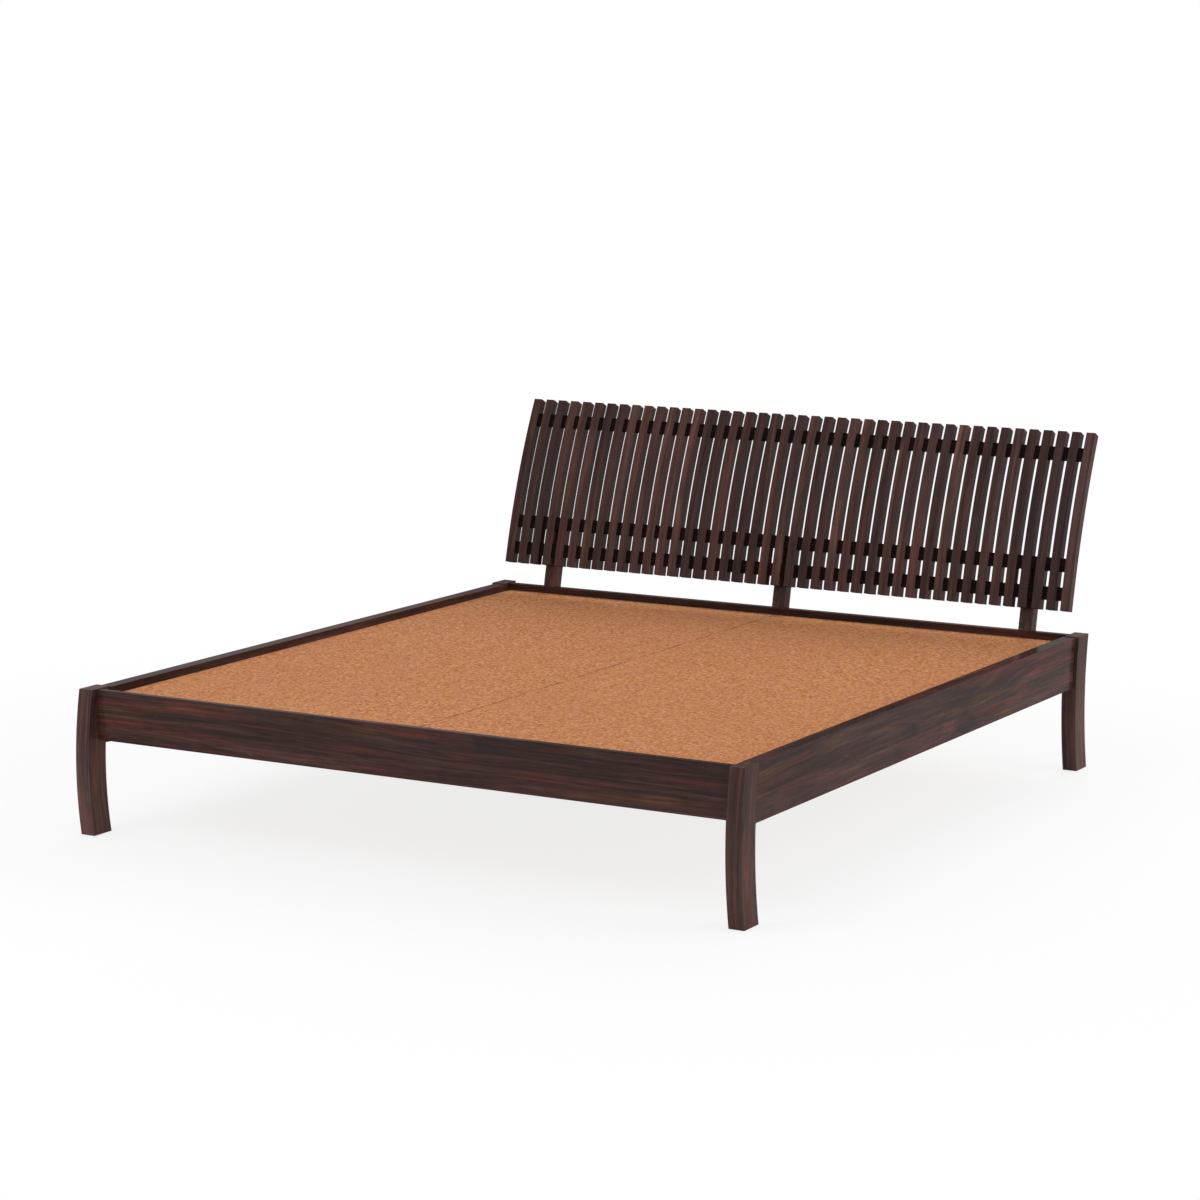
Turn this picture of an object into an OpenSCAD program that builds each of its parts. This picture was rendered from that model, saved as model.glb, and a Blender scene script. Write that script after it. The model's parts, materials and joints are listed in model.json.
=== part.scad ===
// Platform bed with bowed legs, a board deck and a curved, slatted headboard.
// Millimetres, +Z up, foot end towards -Y, headboard towards +Y.
// The origin is on the floor, in the middle of the whole bed's footprint.

/* [Frame] */
// Width over the legs
frame_w = 1925; // [1400:5:2200]
// Length over the tops of the legs
frame_l = 2079; // [1900:1:2300]
// Height of the rails' top edges above the floor
rail_top = 381; // [320:1:450]

/* [Legs] */
// Width of a leg, across the bed
leg_w = 42; // [38:1:70]
// Depth of a leg, along the bed
leg_d = 70; // [64:1:90]
// Height of a leg with its glide
leg_h = 383; // [350:1:460]
// How far a leg bows towards the foot end at mid height
leg_bow = 18; // [8:1:30]

/* [Rails] */
// Height of the foot and head rails
end_rail_h = 130; // [110:1:160]
// Thickness of the foot rail
foot_rail_t = 18; // [16:1:28]
// Setback of the foot rail from the front of the legs' tops
foot_inset = 19; // [12:1:24]
// Thickness of the head rail
head_rail_t = 22; // [18:1:28]
// Setback of the head rail from the back of the legs' tops
head_inset = 21; // [12:1:24]
// Height of the side rails
side_rail_h = 142; // [120:1:170]
// Thickness of a side rail
side_rail_t = 37; // [28:1:45]
// Setback of the side rails from the legs' outer faces
side_inset = 10; // [4:1:16]

/* [Tenons] */
// Length of the tenons on the foot and head rails
end_tenon_l = 24; // [16:1:26]
// Thickness of the tenons on the foot and head rails
end_tenon_t = 8; // [6:0.5:10]
// Length that a side rail's tenon enters a leg at the leg's top
side_tenon_l = 16; // [10:1:20]
// Thickness of a side rail's tenon
side_tenon_t = 12; // [8:0.5:14]
// Wood left above and below every tenon
tenon_shoulder = 22; // [15:1:35]

/* [Deck] */
// Depth of the deck's top face below the rails' top edges
deck_drop = 20; // [10:1:40]
// Thickness of the deck panels
deck_t = 12; // [9:1:18]
// Gap round each deck panel
deck_gap = 1; // [0.5:0.25:3]

/* [Deck supports] */
// Side of a cleat's square section
cleat_s = 25; // [20:1:30]
// Width of a cross bearer
bearer_w = 70; // [50:1:90]
// Thickness of a cross bearer
bearer_t = 25; // [18:1:30]
// Number of cross bearers
bearer_count = 5; // [3:1:5]
// Width of the centre beam
beam_w = 40; // [35:1:50]
// Height of the centre beam
beam_h = 62; // [50:1:64]
// Side of the centre leg's square section
centre_leg_s = 45; // [42:1:60]
// Diameter of the round tenon on the centre leg
spigot_d = 20; // [14:1:24]
// Length of the round tenon on the centre leg
spigot_l = 25; // [15:1:30]

/* [Steel] */
// Thickness of the angle brackets and beam shoes
plate_t = 3; // [2:0.5:4]
// Length of an angle bracket's arm along an end rail
bracket_arm_x = 90; // [80:1:120]
// Length of an angle bracket's arm along a side rail
bracket_arm_y = 150; // [130:1:160]
// Height of an angle bracket
bracket_h = 52; // [40:1:56]
// Length of a beam shoe along the beam
shoe_l = 50; // [40:1:70]
// Width of each flange of a beam shoe
shoe_flange = 24; // [20:1:30]

/* [Headboard] */
// Number of slats, with the first at the left
slat_count = 43; // [35:2:43]
// Width of a slat
slat_w = 27; // [20:0.5:30]
// Thickness of a slat
slat_t = 26; // [22:0.5:32]
// Setback of the headboard's sides from the legs' outer faces
board_inset = 38; // [0:1:60]
// Radius of the slats' front faces
board_r = 2220; // [1900:10:3000]
// Lean of the slats at their lower ends, in degrees
board_lean = 13.25; // [10:0.25:16]
// Height of the slats' lower front edges above the rails
slat_lift = 69; // [50:1:90]
// Height of the slats' upper front edges above the rails
slat_rise = 554.5; // [500:0.5:620]

/* [Battens] */
// Height of a batten along the slats
batten_h = 38; // [30:1:42]
// Thickness of a batten
batten_t = 13; // [10:0.5:14]
// Depth of the battens' faces behind the slats' front faces
batten_set = 4; // [3:0.5:8]
// Height of the bottom batten's middle above the rails
bottom_batten_lift = 114.5; // [105:0.5:130]
// Height of the middle batten's middle above the rails
middle_batten_lift = 194; // [175:0.5:240]
// Height of the top batten's middle above the rails
top_batten_lift = 495.5; // [400:0.5:505]
// Depth of a batten's end inside an outermost slat
batten_end = 14; // [8:1:18]

/* [Posts] */
// Width of a post
post_w = 40; // [32:1:43]
// Thickness of a post
post_t = 35; // [30:1:42]
// Number of slats outside each of the outer posts
post_inset_slats = 3; // [1:1:8]
// Length of the tail that laps the head rail's outer face
post_tail = 104; // [90:1:110]

/* [Fasteners] */
// Diameter of the bracket screws
bracket_screw_d = 6; // [5:0.5:6]
// Length of a bracket screw's shank
bracket_screw_l = 16; // [12:1:17]
// Diameter of the wood screws
wood_screw_d = 4; // [3.5:0.5:5]
// Length of a wood screw with its head
wood_screw_l = 40; // [38:1:42]
// Diameter of the coach screws in the posts' tails
coach_screw_d = 8; // [6:1:8]
// Length of a coach screw's shank
coach_screw_l = 30; // [24:1:32]
// Diameter of the long screws from the posts into the battens
batten_screw_d = 6; // [5:0.5:6]

/* [Glides] */
// Diameter of a glide
glide_d = 28; // [20:1:36]
// Thickness of a glide
glide_t = 2; // [1:0.5:4]
// Diameter of a glide's pin
glide_pin_d = 5; // [4:0.5:6]
// Length of a glide's pin
glide_pin_l = 16; // [10:1:20]

/* [Hidden] */
// Clearance round tenons, battens, screws and pins
fit = 0.2;
// Clearance between curved faces that would touch
curve_gap = 0.3;
// Facets of a curve that OpenSCAD itself draws
fine = 720;
// Facets of a small round
small = 48;
// Overlap of two shapes that make one solid
weld = 1;

// Angle of a slat's tangent where its front face is at height z
function lean(z) = asin((z - board_cz) / board_r);
// Distance back from the board's centre line at radius r and height z
function board_y(r, z) = board_cy - sqrt(pow(r, 2) - pow(z - board_cz, 2));

leg_r = (pow(leg_h / 2, 2) + pow(leg_bow, 2)) / (2 * leg_bow);

// Heights
deck_top = rail_top - deck_drop;
deck_low = deck_top - deck_t;
bearer_low = deck_low - bearer_t;
beam_low = bearer_low - beam_h;
end_rail_low = rail_top - end_rail_h;
side_rail_low = rail_top - side_rail_h;
slat_low = rail_top + slat_lift;
slat_high = rail_top + slat_rise;

// The headboard's arc, first measured from the front of the foot legs' tops
board_cz = slat_low - board_r * sin(board_lean);
slat_back_r = board_r - slat_t;
post_front_r = slat_back_r - curve_gap;
post_back_r = post_front_r - post_t;
head_inner_l = frame_l - head_inset - head_rail_t;
board_cl = head_inner_l + sqrt(pow(post_front_r, 2) - pow(rail_top - board_cz, 2));
reach_l = board_cl - slat_back_r * cos(lean(slat_high));

// Places along the bed, measured from the origin
foot_y = (leg_bow - reach_l) / 2;
head_y = foot_y + frame_l - leg_d;
board_cy = foot_y + board_cl;
foot_out_y = foot_y + foot_inset;
foot_in_y = foot_out_y + foot_rail_t;
head_in_y = foot_y + head_inner_l;
head_out_y = head_in_y + head_rail_t;
mid_y = (foot_in_y + head_in_y) / 2;
inner_l = head_in_y - foot_in_y;
bay = inner_l / (bearer_count + 1);

// Places across the bed
leg_in_x = frame_w / 2 - leg_w;
side_out_x = frame_w / 2 - side_inset;
side_in_x = side_out_x - side_rail_t;
side_tenon_x = (leg_in_x + side_out_x) / 2;

// Steelwork
bracket_top = bearer_low - 10;
bracket_low = bracket_top - bracket_h;
side_cleat_start = foot_in_y + bracket_arm_y + 12;
side_cleat_end = head_in_y - bracket_arm_y - 12;
end_cleat_x = side_in_x - 35;
hex_h = 4;
hex_d = 11;
wood_head_d = 2 * wood_screw_d;
wood_head_h = 2.5;

// Headboard
board_w = frame_w - 2 * board_inset;
slat_pitch = (board_w - slat_w) / (slat_count - 1);
post_slats = [post_inset_slats + 1, (slat_count + 1) / 2, slat_count - post_inset_slats];
batten_lift = [bottom_batten_lift, middle_batten_lift, top_batten_lift];
batten_lean = [for (h = batten_lift) lean(rail_top + h)];
batten_x = board_w / 2 - slat_w + batten_end;
post_top_lean = batten_lean[1] + asin(batten_h / 2 / board_r);
post_back_y = board_y(post_back_r, rail_top);
batten_screw_l = post_t + curve_gap + slat_t - batten_set - 3;
pan_h = 3.5;
pan_d = 12;

pairs = (slat_count - 1) / 2;
function two(n) = n < 10 ? str("0", n) : str(n);
function pair_name(k) = str("slats_", two(2 * k - 1), "_", two(2 * k));
last_slat = str("slat_", two(slat_count));

walnut = [0.33, 0.22, 0.19];
dark_stain = [0.10, 0.07, 0.06];
board_brown = [0.74, 0.50, 0.35];
pale_wood = [0.72, 0.58, 0.42];
zinc = [0.70, 0.70, 0.68];
nylon = [0.16, 0.15, 0.14];

// A box from its lowest corner to its highest
module block(low, high) {
    translate(low) cube(high - low);
}

// A (y, z) outline extruded along X from x0 over width w
module along_x(x0, w) {
    translate([x0, 0, 0]) rotate([90, 0, 90]) linear_extrude(w) children();
}

// What follows, and its mirror image on the bed's left side
module both_sides() {
    children();
    mirror([1, 0, 0]) children();
}

// A round bar from point p along Y or -Y
module bar_y(p, d, l, toward = 1) {
    translate(p) rotate([-90 * toward, 0, 0]) cylinder(d = d, h = l, $fn = small);
}

// Legs

// Side view of a leg whose front top edge is at y0, grown by g all round its curved faces
module leg_outline(y0, g = 0) {
    intersection() {
        translate([y0 - leg_bow + leg_r, leg_h / 2]) difference() {
            circle(r = leg_r + g, $fn = fine);
            circle(r = leg_r - leg_d - g, $fn = fine);
        }
        translate([y0 - leg_bow - 5, glide_t]) square([leg_d + leg_bow + 10, leg_h - glide_t]);
    }
}

module leg(y0) {
    color(walnut) difference() {
        along_x(leg_in_x, leg_w) leg_outline(y0);
        end_rail_tenon(foot_out_y, foot_rail_t, fit);
        end_rail_tenon(head_in_y, head_rail_t, fit);
        side_rail_tenons(fit);
        glide(leg_in_x + leg_w / 2, foot_y + leg_d / 2, fit);
        glide(leg_in_x + leg_w / 2, head_y + leg_d / 2, fit);
    }
}

module leg_left(y0) {
    mirror([1, 0, 0]) leg(y0);
}

// Rails

// The tenon at the right end of an end rail whose foot-side face is at y0, grown by g
module end_rail_tenon(y0, t, g = 0) {
    block([leg_in_x - weld, y0 + (t - end_tenon_t) / 2 - g, end_rail_low + tenon_shoulder - g],
          [leg_in_x + end_tenon_l + g, y0 + (t + end_tenon_t) / 2 + g, rail_top - tenon_shoulder + g]);
}

module end_rail(y0, t) {
    block([-leg_in_x, y0, end_rail_low], [leg_in_x, y0 + t, rail_top]);
    both_sides() end_rail_tenon(y0, t);
}

module foot_rail() {
    color(walnut) difference() {
        end_rail(foot_out_y, foot_rail_t);
        bracket_screws(fit);
        wood_screws(fit);
    }
}

module head_rail() {
    color(walnut) difference() {
        end_rail(head_in_y, head_rail_t);
        bracket_screws(fit);
        wood_screws(fit);
        post_screws(fit);
    }
}

// Both tenons of the right side rail, grown by g
module side_rail_tenons(g = 0) {
    x0 = side_tenon_x - side_tenon_t / 2 - g;
    x1 = side_tenon_x + side_tenon_t / 2 + g;
    z0 = side_rail_low + tenon_shoulder - g;
    z1 = rail_top - tenon_shoulder + g;
    block([x0, foot_y + leg_d - leg_bow - side_tenon_l - g, z0], [x1, foot_y + leg_d + weld, z1]);
    block([x0, head_y - leg_bow - weld, z0], [x1, head_y + side_tenon_l + g, z1]);
}

module side_rail() {
    color(walnut) difference() {
        union() {
            along_x(side_in_x, side_rail_t) difference() {
                translate([foot_y + leg_d / 2, side_rail_low])
                    square([head_y - foot_y, side_rail_h]);
                leg_outline(foot_y, curve_gap);
                leg_outline(head_y, curve_gap);
            }
            side_rail_tenons();
        }
        bracket_screws(fit);
        wood_screws(fit);
    }
}

module side_rail_left() {
    mirror([1, 0, 0]) side_rail();
}

// Deck

module deck_panel() {
    color(board_brown)
        block([deck_gap / 2, foot_in_y + deck_gap, deck_low],
              [side_in_x - deck_gap, head_in_y - deck_gap, deck_top]);
}

module deck_panel_left() {
    mirror([1, 0, 0]) deck_panel();
}

// Deck supports

module centre_beam() {
    color(pale_wood) difference() {
        block([-beam_w / 2, foot_in_y + plate_t, beam_low], [beam_w / 2, head_in_y - plate_t, bearer_low]);
        translate([0, mid_y, beam_low - weld])
            cylinder(d = spigot_d + 2 * fit, h = spigot_l + 1 + weld, $fn = small);
        wood_screws(fit);
    }
}

// Folded steel shoe that carries the beam's foot end
module beam_shoe() {
    shoe_low = beam_low - plate_t;
    cheek = beam_w / 2 + plate_t;
    flange = cheek + shoe_flange;
    y1 = foot_in_y + plate_t;
    color(zinc) difference() {
        union() {
            block([-cheek, y1 - plate_t, shoe_low], [cheek, foot_in_y + shoe_l, beam_low]);
            both_sides() block([beam_w / 2, y1 - plate_t, shoe_low], [cheek, foot_in_y + shoe_l, bracket_top]);
            block([-flange, foot_in_y, shoe_low], [flange, y1, bracket_top]);
        }
        bracket_screws(fit);
    }
}

module beam_shoe_head() {
    translate([0, 2 * mid_y, 0]) mirror([0, 1, 0]) beam_shoe();
}

module centre_leg() {
    color(walnut) difference() {
        union() {
            block([-centre_leg_s / 2, mid_y - centre_leg_s / 2, glide_t],
                  [centre_leg_s / 2, mid_y + centre_leg_s / 2, beam_low]);
            translate([0, mid_y, beam_low - weld])
                cylinder(d = spigot_d, h = spigot_l + weld, $fn = small);
        }
        glide(0, mid_y, fit);
    }
}

module side_cleat() {
    color(pale_wood) difference() {
        block([side_in_x - cleat_s, side_cleat_start, bearer_low - cleat_s],
              [side_in_x, side_cleat_end, bearer_low]);
        wood_screws(fit);
    }
}

module cleat_left() {
    mirror([1, 0, 0]) side_cleat();
}

// Cleat on an end rail, with its foot-side face at y0
module end_cleat(y0) {
    color(pale_wood) difference() {
        block([-end_cleat_x, y0, deck_low - cleat_s], [end_cleat_x, y0 + cleat_s, deck_low]);
        wood_screws(fit);
    }
}

module cross_bearer(i) {
    yc = foot_in_y + i * bay;
    color(pale_wood) difference() {
        block([deck_gap - side_in_x, yc - bearer_w / 2, bearer_low],
              [side_in_x - deck_gap, yc + bearer_w / 2, deck_low]);
        wood_screws(fit);
    }
}

// Folded steel angle in the foot right corner
module corner_bracket() {
    color(zinc) difference() {
        union() {
            block([side_in_x - bracket_arm_x, foot_in_y, bracket_low],
                  [side_in_x, foot_in_y + plate_t, bracket_top]);
            block([side_in_x - plate_t, foot_in_y, bracket_low],
                  [side_in_x, foot_in_y + bracket_arm_y, bracket_top]);
        }
        bracket_screws(fit);
    }
}

module corner_bracket_head() {
    translate([0, 2 * mid_y, 0]) mirror([0, 1, 0]) corner_bracket();
}

// Headboard

// Part of a ring round the board's centre, from the low lean to the high one
module arc_outline(r_out, r_in, low, high) {
    far = 1.1 * r_out;
    translate([board_cy, board_cz]) intersection() {
        difference() {
            circle(r = r_out, $fn = fine);
            circle(r = r_in, $fn = fine);
        }
        polygon([[0, 0], [-far * cos(low), far * sin(low)], [-far * cos(high), far * sin(high)]]);
    }
}

function slat_x(i) = -board_w / 2 + (i - 1) * slat_pitch;

module slat(i) {
    color(walnut) difference() {
        along_x(slat_x(i), slat_w) arc_outline(board_r, slat_back_r, lean(slat_low), lean(slat_high));
        for (b = [0:2]) batten(b, fit);
        if (len(search(i, post_slats)) > 0) batten_screws(fit);
    }
}

// Places what follows on the slats' front faces at lean a, facing out along -Y, with Z along the slats
module on_board(a) {
    translate([0, board_cy, board_cz]) rotate([-a, 0, 0]) translate([0, -board_r, 0]) children();
}

module batten(b, g = 0) {
    color(dark_stain) on_board(batten_lean[b]) difference() {
        block([-batten_x - g, batten_set - g, -batten_h / 2 - g],
              [batten_x + g, batten_set + batten_t + g, batten_h / 2 + g]);
        if (g == 0 && b < 2) for (i = post_slats) batten_screw(i, fit);
    }
}

module post(i) {
    x0 = slat_x(i);
    color(walnut) difference() {
        union() {
            intersection() {
                along_x(x0, post_w) arc_outline(post_front_r, post_back_r, lean(rail_top) - 3, post_top_lean);
                block([x0, head_in_y - leg_d, rail_top], [x0 + post_w, head_out_y + reach_l, slat_high]);
            }
            block([x0, head_out_y, rail_top - post_tail], [x0 + post_w, post_back_y, rail_top + weld]);
        }
        post_screws(fit);
        batten_screws(fit);
    }
}

// Fasteners and glides, each grown by g where it cuts its hole

// Hex-headed screw at p, pointing along Y or -Y
module hex_screw_y(p, d, l, toward, g = 0) {
    bar_y(p, d + 2 * g, l + g, toward);
    translate(p) rotate([90 * toward, 0, 0]) cylinder(d = hex_d * d / 6 + 2 * g, h = hex_h + g, $fn = 6);
}

// Bracket screws in the foot right corner and in the beam's foot shoe
module bracket_screw_set(g = 0) {
    z = (bracket_low + bracket_top) / 2;
    face_y = foot_in_y + plate_t;
    face_x = side_in_x - plate_t;
    for (x = [side_in_x - bracket_arm_x + 20, side_in_x - bracket_arm_x + 50])
        hex_screw_y([x, face_y, z], bracket_screw_d, bracket_screw_l, -1, g);
    for (y = [foot_in_y + bracket_arm_y - 65, foot_in_y + bracket_arm_y - 25])
        translate([face_x, y, z]) rotate([0, 0, -90])
            hex_screw_y([0, 0, 0], bracket_screw_d, bracket_screw_l, 1, g);
    for (dz = [-12, 12])
        hex_screw_y([beam_w / 2 + plate_t + shoe_flange / 2, face_y, z + dz],
                    bracket_screw_d, bracket_screw_l, -1, g);
}

module bracket_screws(g = 0) {
    color(zinc) both_sides() {
        bracket_screw_set(g);
        translate([0, 2 * mid_y, 0]) mirror([0, 1, 0]) bracket_screw_set(g);
    }
}

// Countersunk screw with its head flush at the origin, pointing down
module wood_screw(g = 0) {
    translate([0, 0, -wood_screw_l - g]) cylinder(d = wood_screw_d + 2 * g, h = wood_screw_l + g, $fn = small);
    translate([0, 0, -wood_head_h])
        cylinder(d1 = wood_screw_d + 2 * g, d2 = wood_head_d + 2 * g, h = wood_head_h, $fn = small);
}

module wood_screws(g = 0) {
    color(zinc) {
        for (i = [1:bearer_count], x = [-1, 0, 1])
            translate([x * (side_in_x - cleat_s / 2), foot_in_y + i * bay, deck_low]) wood_screw(g);
        for (i = [1:bearer_count - 1]) both_sides()
            translate([side_in_x - cleat_s, foot_in_y + (i + 0.5) * bay, bearer_low - cleat_s / 2])
                rotate([0, -90, 0]) wood_screw(g);
        for (x = [-0.65, -0.22, 0.22, 0.65]) {
            translate([x * side_in_x, foot_in_y + cleat_s, deck_low - cleat_s / 2])
                rotate([-90, 0, 0]) wood_screw(g);
            translate([x * side_in_x, head_in_y - cleat_s, deck_low - cleat_s / 2])
                rotate([90, 0, 0]) wood_screw(g);
        }
    }
}

// Coach screws through the posts' tails into the head rail
module post_screws(g = 0) {
    color(zinc) for (i = post_slats, dz = [-38, -80])
        hex_screw_y([slat_x(i) + post_w / 2, post_back_y, rail_top + dz], coach_screw_d, coach_screw_l, -1, g);
}

// Long screw through the back of post i, its slat and one batten, in the batten's own place
module batten_screw(i, g = 0) {
    face = slat_t + curve_gap + post_t + fit;
    translate([slat_x(i) + slat_w / 2, face, 0]) rotate([90, 0, 0])
        cylinder(d = batten_screw_d + 2 * g, h = batten_screw_l + g, $fn = small);
    translate([slat_x(i) + slat_w / 2, face, 0]) rotate([-90, 0, 0])
        cylinder(d = pan_d, h = pan_h, $fn = small);
}

module batten_screws(g = 0) {
    color(zinc) for (b = [0:1]) on_board(batten_lean[b]) for (i = post_slats) batten_screw(i, g);
}

// Glide under a foot at (x, y)
module glide(x, y, g = 0) {
    color(nylon) translate([x, y, 0]) {
        cylinder(d = glide_d, h = glide_t, $fn = small);
        cylinder(d = glide_pin_d + 2 * g, h = glide_t + glide_pin_l + g, $fn = small);
    }
}

module leg_glides() {
    both_sides() for (y = [foot_y, head_y]) glide(leg_in_x + leg_w / 2, y + leg_d / 2);
    glide(0, mid_y);
}

leg_left(foot_y);  // leg_foot_left
leg(foot_y);  // leg_foot_right
leg_left(head_y);  // leg_head_left
leg(head_y);  // leg_head_right
foot_rail();
head_rail();
side_rail_left();
side_rail();  // side_rail_right
deck_panel_left();
deck_panel();  // deck_panel_right
centre_beam();
beam_shoe();  // beam_shoe_foot
beam_shoe_head();
centre_leg();
cleat_left();
side_cleat();  // cleat_right
end_cleat(foot_in_y);  // cleat_foot
end_cleat(head_in_y - cleat_s);  // cleat_head
for (i = [1:bearer_count]) cross_bearer(i);
mirror([1, 0, 0]) corner_bracket();  // corner_bracket_foot_left
corner_bracket();  // corner_bracket_foot_right
mirror([1, 0, 0]) corner_bracket_head();  // corner_bracket_head_left
corner_bracket_head();  // corner_bracket_head_right
post(post_slats[0]);  // post_left
post(post_slats[1]);  // post_middle
post(post_slats[2]);  // post_right
batten(0);  // batten_bottom
batten(1);  // batten_middle
batten(2);  // batten_top
for (k = [1:pairs]) for (i = [2 * k - 1, 2 * k]) slat(i);
slat(slat_count);
leg_glides();
bracket_screws();
wood_screws();
post_screws();
batten_screws();
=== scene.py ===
# A platform bed in dark stained hardwood: materials, edges, screws, floor, light and camera
# Metres, +Z up, foot end towards -Y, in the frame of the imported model
import json
import math

import bmesh
import bpy
from mathutils import Euler, Matrix, Vector

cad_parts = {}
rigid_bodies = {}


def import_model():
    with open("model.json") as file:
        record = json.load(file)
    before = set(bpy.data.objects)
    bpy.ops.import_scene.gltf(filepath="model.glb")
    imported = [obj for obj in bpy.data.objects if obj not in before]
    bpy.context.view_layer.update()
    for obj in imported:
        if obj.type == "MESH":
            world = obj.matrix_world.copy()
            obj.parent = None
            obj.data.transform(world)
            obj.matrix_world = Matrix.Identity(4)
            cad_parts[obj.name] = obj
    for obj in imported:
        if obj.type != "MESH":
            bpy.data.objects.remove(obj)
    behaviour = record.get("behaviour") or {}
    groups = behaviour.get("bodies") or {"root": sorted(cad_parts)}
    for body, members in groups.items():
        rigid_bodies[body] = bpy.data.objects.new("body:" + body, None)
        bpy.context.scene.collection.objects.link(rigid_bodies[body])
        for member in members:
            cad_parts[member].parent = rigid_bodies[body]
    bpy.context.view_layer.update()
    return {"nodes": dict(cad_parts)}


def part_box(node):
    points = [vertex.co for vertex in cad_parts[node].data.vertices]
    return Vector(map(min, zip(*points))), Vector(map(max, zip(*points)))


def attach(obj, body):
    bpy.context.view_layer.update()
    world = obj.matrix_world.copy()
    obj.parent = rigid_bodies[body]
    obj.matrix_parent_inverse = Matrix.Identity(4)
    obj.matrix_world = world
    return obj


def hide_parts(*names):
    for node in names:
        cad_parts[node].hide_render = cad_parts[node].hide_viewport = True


for stray in list(bpy.data.objects):
    bpy.data.objects.remove(stray)

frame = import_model()
NODES = frame["nodes"]

# The legs' bow and the headboard's arc, which their grain follows. LEG_BOW, BOARD_RADIUS and BOARD_LEAN
# are the model's own sizes

leg_low, leg_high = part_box("leg_foot_right")
LEG_HEIGHT = leg_high.z
LEG_BOW = 0.018
LEG_RADIUS = ((LEG_HEIGHT / 2) ** 2 + LEG_BOW**2) / (2 * LEG_BOW)
# The y of the bow's foremost point, on the legs at the foot and on those at the head
NOSE_FOOT = leg_low.y
NOSE_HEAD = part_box("leg_head_right")[0].y

slat_low, slat_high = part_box("slat_43")
SLAT_WIDTH = slat_high.x - slat_low.x
SLAT_COUNT = 43
SLAT_PITCH = (2 * slat_low.x + SLAT_WIDTH) / (SLAT_COUNT - 1)
BOARD_RADIUS = 2.220
BOARD_LEAN = math.radians(13.25)
# The foot of the slats' front faces and the centre of their arc, as (y, z)
BOARD_FOOT = (slat_low.y, 0.450)
BOARD_CENTRE = (BOARD_FOOT[0] + BOARD_RADIUS * math.cos(BOARD_LEAN),
                BOARD_FOOT[1] - BOARD_RADIUS * math.sin(BOARD_LEAN))


# Small helpers for colours and shader nodes

def srgb(r, g, b):
    """A colour given in 0 to 255 as a picture shows it, as linear RGBA."""
    def linear(c):
        c = c / 255
        return c / 12.92 if c <= 0.04045 else ((c + 0.055) / 1.055) ** 2.4
    return (linear(r), linear(g), linear(b), 1.0)


def add(tree, kind, inputs=None, **settings):
    """A new node with its settings, and each input given by name or number set to a value or linked."""
    made = tree.nodes.new(kind)
    for name, value in settings.items():
        setattr(made, name, value)
    for name, value in (inputs or {}).items():
        socket = made.inputs[name]
        if isinstance(value, bpy.types.NodeSocket):
            tree.links.new(value, socket)
        else:
            socket.default_value = value
    return made


def calc(tree, operation, a, b=0.0, c=0.0):
    """The output of a Math node."""
    return add(tree, "ShaderNodeMath", {0: a, 1: b, 2: c}, operation=operation).outputs[0]


def hypotenuse(tree, a, b):
    """The length of a flat vector from its two parts."""
    return calc(tree, "SQRT", calc(tree, "ADD", calc(tree, "MULTIPLY", a, a), calc(tree, "MULTIPLY", b, b)))


def vector(tree, x, y, z):
    """Three values as one vector."""
    return add(tree, "ShaderNodeCombineXYZ", {0: x, 1: y, 2: z}).outputs[0]


def stretch(tree, coordinates, scale, shift=(0, 0, 0)):
    """Coordinates times a scale on each axis, plus a shift."""
    made = add(tree, "ShaderNodeVectorMath", {0: coordinates, 1: scale, 2: shift}, operation="MULTIPLY_ADD")
    return made.outputs[0]


def noise(tree, coordinates, detail, roughness=0.5):
    """Noise with one lump to a unit of its coordinates."""
    made = add(tree, "ShaderNodeTexNoise", {"Vector": coordinates, "Scale": 1.0, "Detail": detail,
                                            "Roughness": roughness})
    return made.outputs["Fac"]


def noise_along(tree, w, scale, detail, roughness=0.5):
    """Noise that varies along one value only."""
    made = add(tree, "ShaderNodeTexNoise", {"W": w, "Scale": scale, "Detail": detail, "Roughness": roughness},
               noise_dimensions="1D")
    return made.outputs["Fac"]


def spread(tree, value, low, high, to_low=0.0, to_high=1.0, smooth=False):
    """A value between low and high, mapped to between to_low and to_high and held there."""
    made = add(tree, "ShaderNodeMapRange", {"Value": value, "From Min": low, "From Max": high,
                                            "To Min": to_low, "To Max": to_high},
               clamp=True, interpolation_type="SMOOTHSTEP" if smooth else "LINEAR")
    return made.outputs["Result"]


def ramp(tree, value, stops):
    """A colour ramp through stops, each a place from 0 to 1 and a colour."""
    made = add(tree, "ShaderNodeValToRGB", {"Fac": value})
    elements = made.color_ramp.elements
    while len(elements) < len(stops):
        elements.new(0.5)
    for element, (at, colour) in zip(elements, stops):
        element.position = at
        element.color = colour
    return made.outputs["Color"]


def blend(tree, amount, a, b, kind="MIX"):
    """Colour a blended towards colour b."""
    made = add(tree, "ShaderNodeMix", {"Factor": amount}, data_type="RGBA", blend_type=kind)
    for socket, value in ((made.inputs[6], a), (made.inputs[7], b)):
        if isinstance(value, bpy.types.NodeSocket):
            tree.links.new(value, socket)
        else:
            socket.default_value = value
    return made.outputs[2]


def place(tree):
    """The coordinates of a point of the bed, in metres, as one socket."""
    return add(tree, "ShaderNodeTexCoord").outputs["Object"]


def position(tree):
    """The x, y and z of a point of the bed, in metres, as three sockets."""
    split = add(tree, "ShaderNodeSeparateXYZ", {0: place(tree)})
    return split.outputs[0], split.outputs[1], split.outputs[2]


def new_material(name):
    """An empty node material, its tree and its shader."""
    made = bpy.data.materials.new(name)
    made.use_nodes = True
    tree = made.node_tree
    shader = next(n for n in tree.nodes if n.type == "BSDF_PRINCIPLED")
    return made, tree, shader


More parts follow.
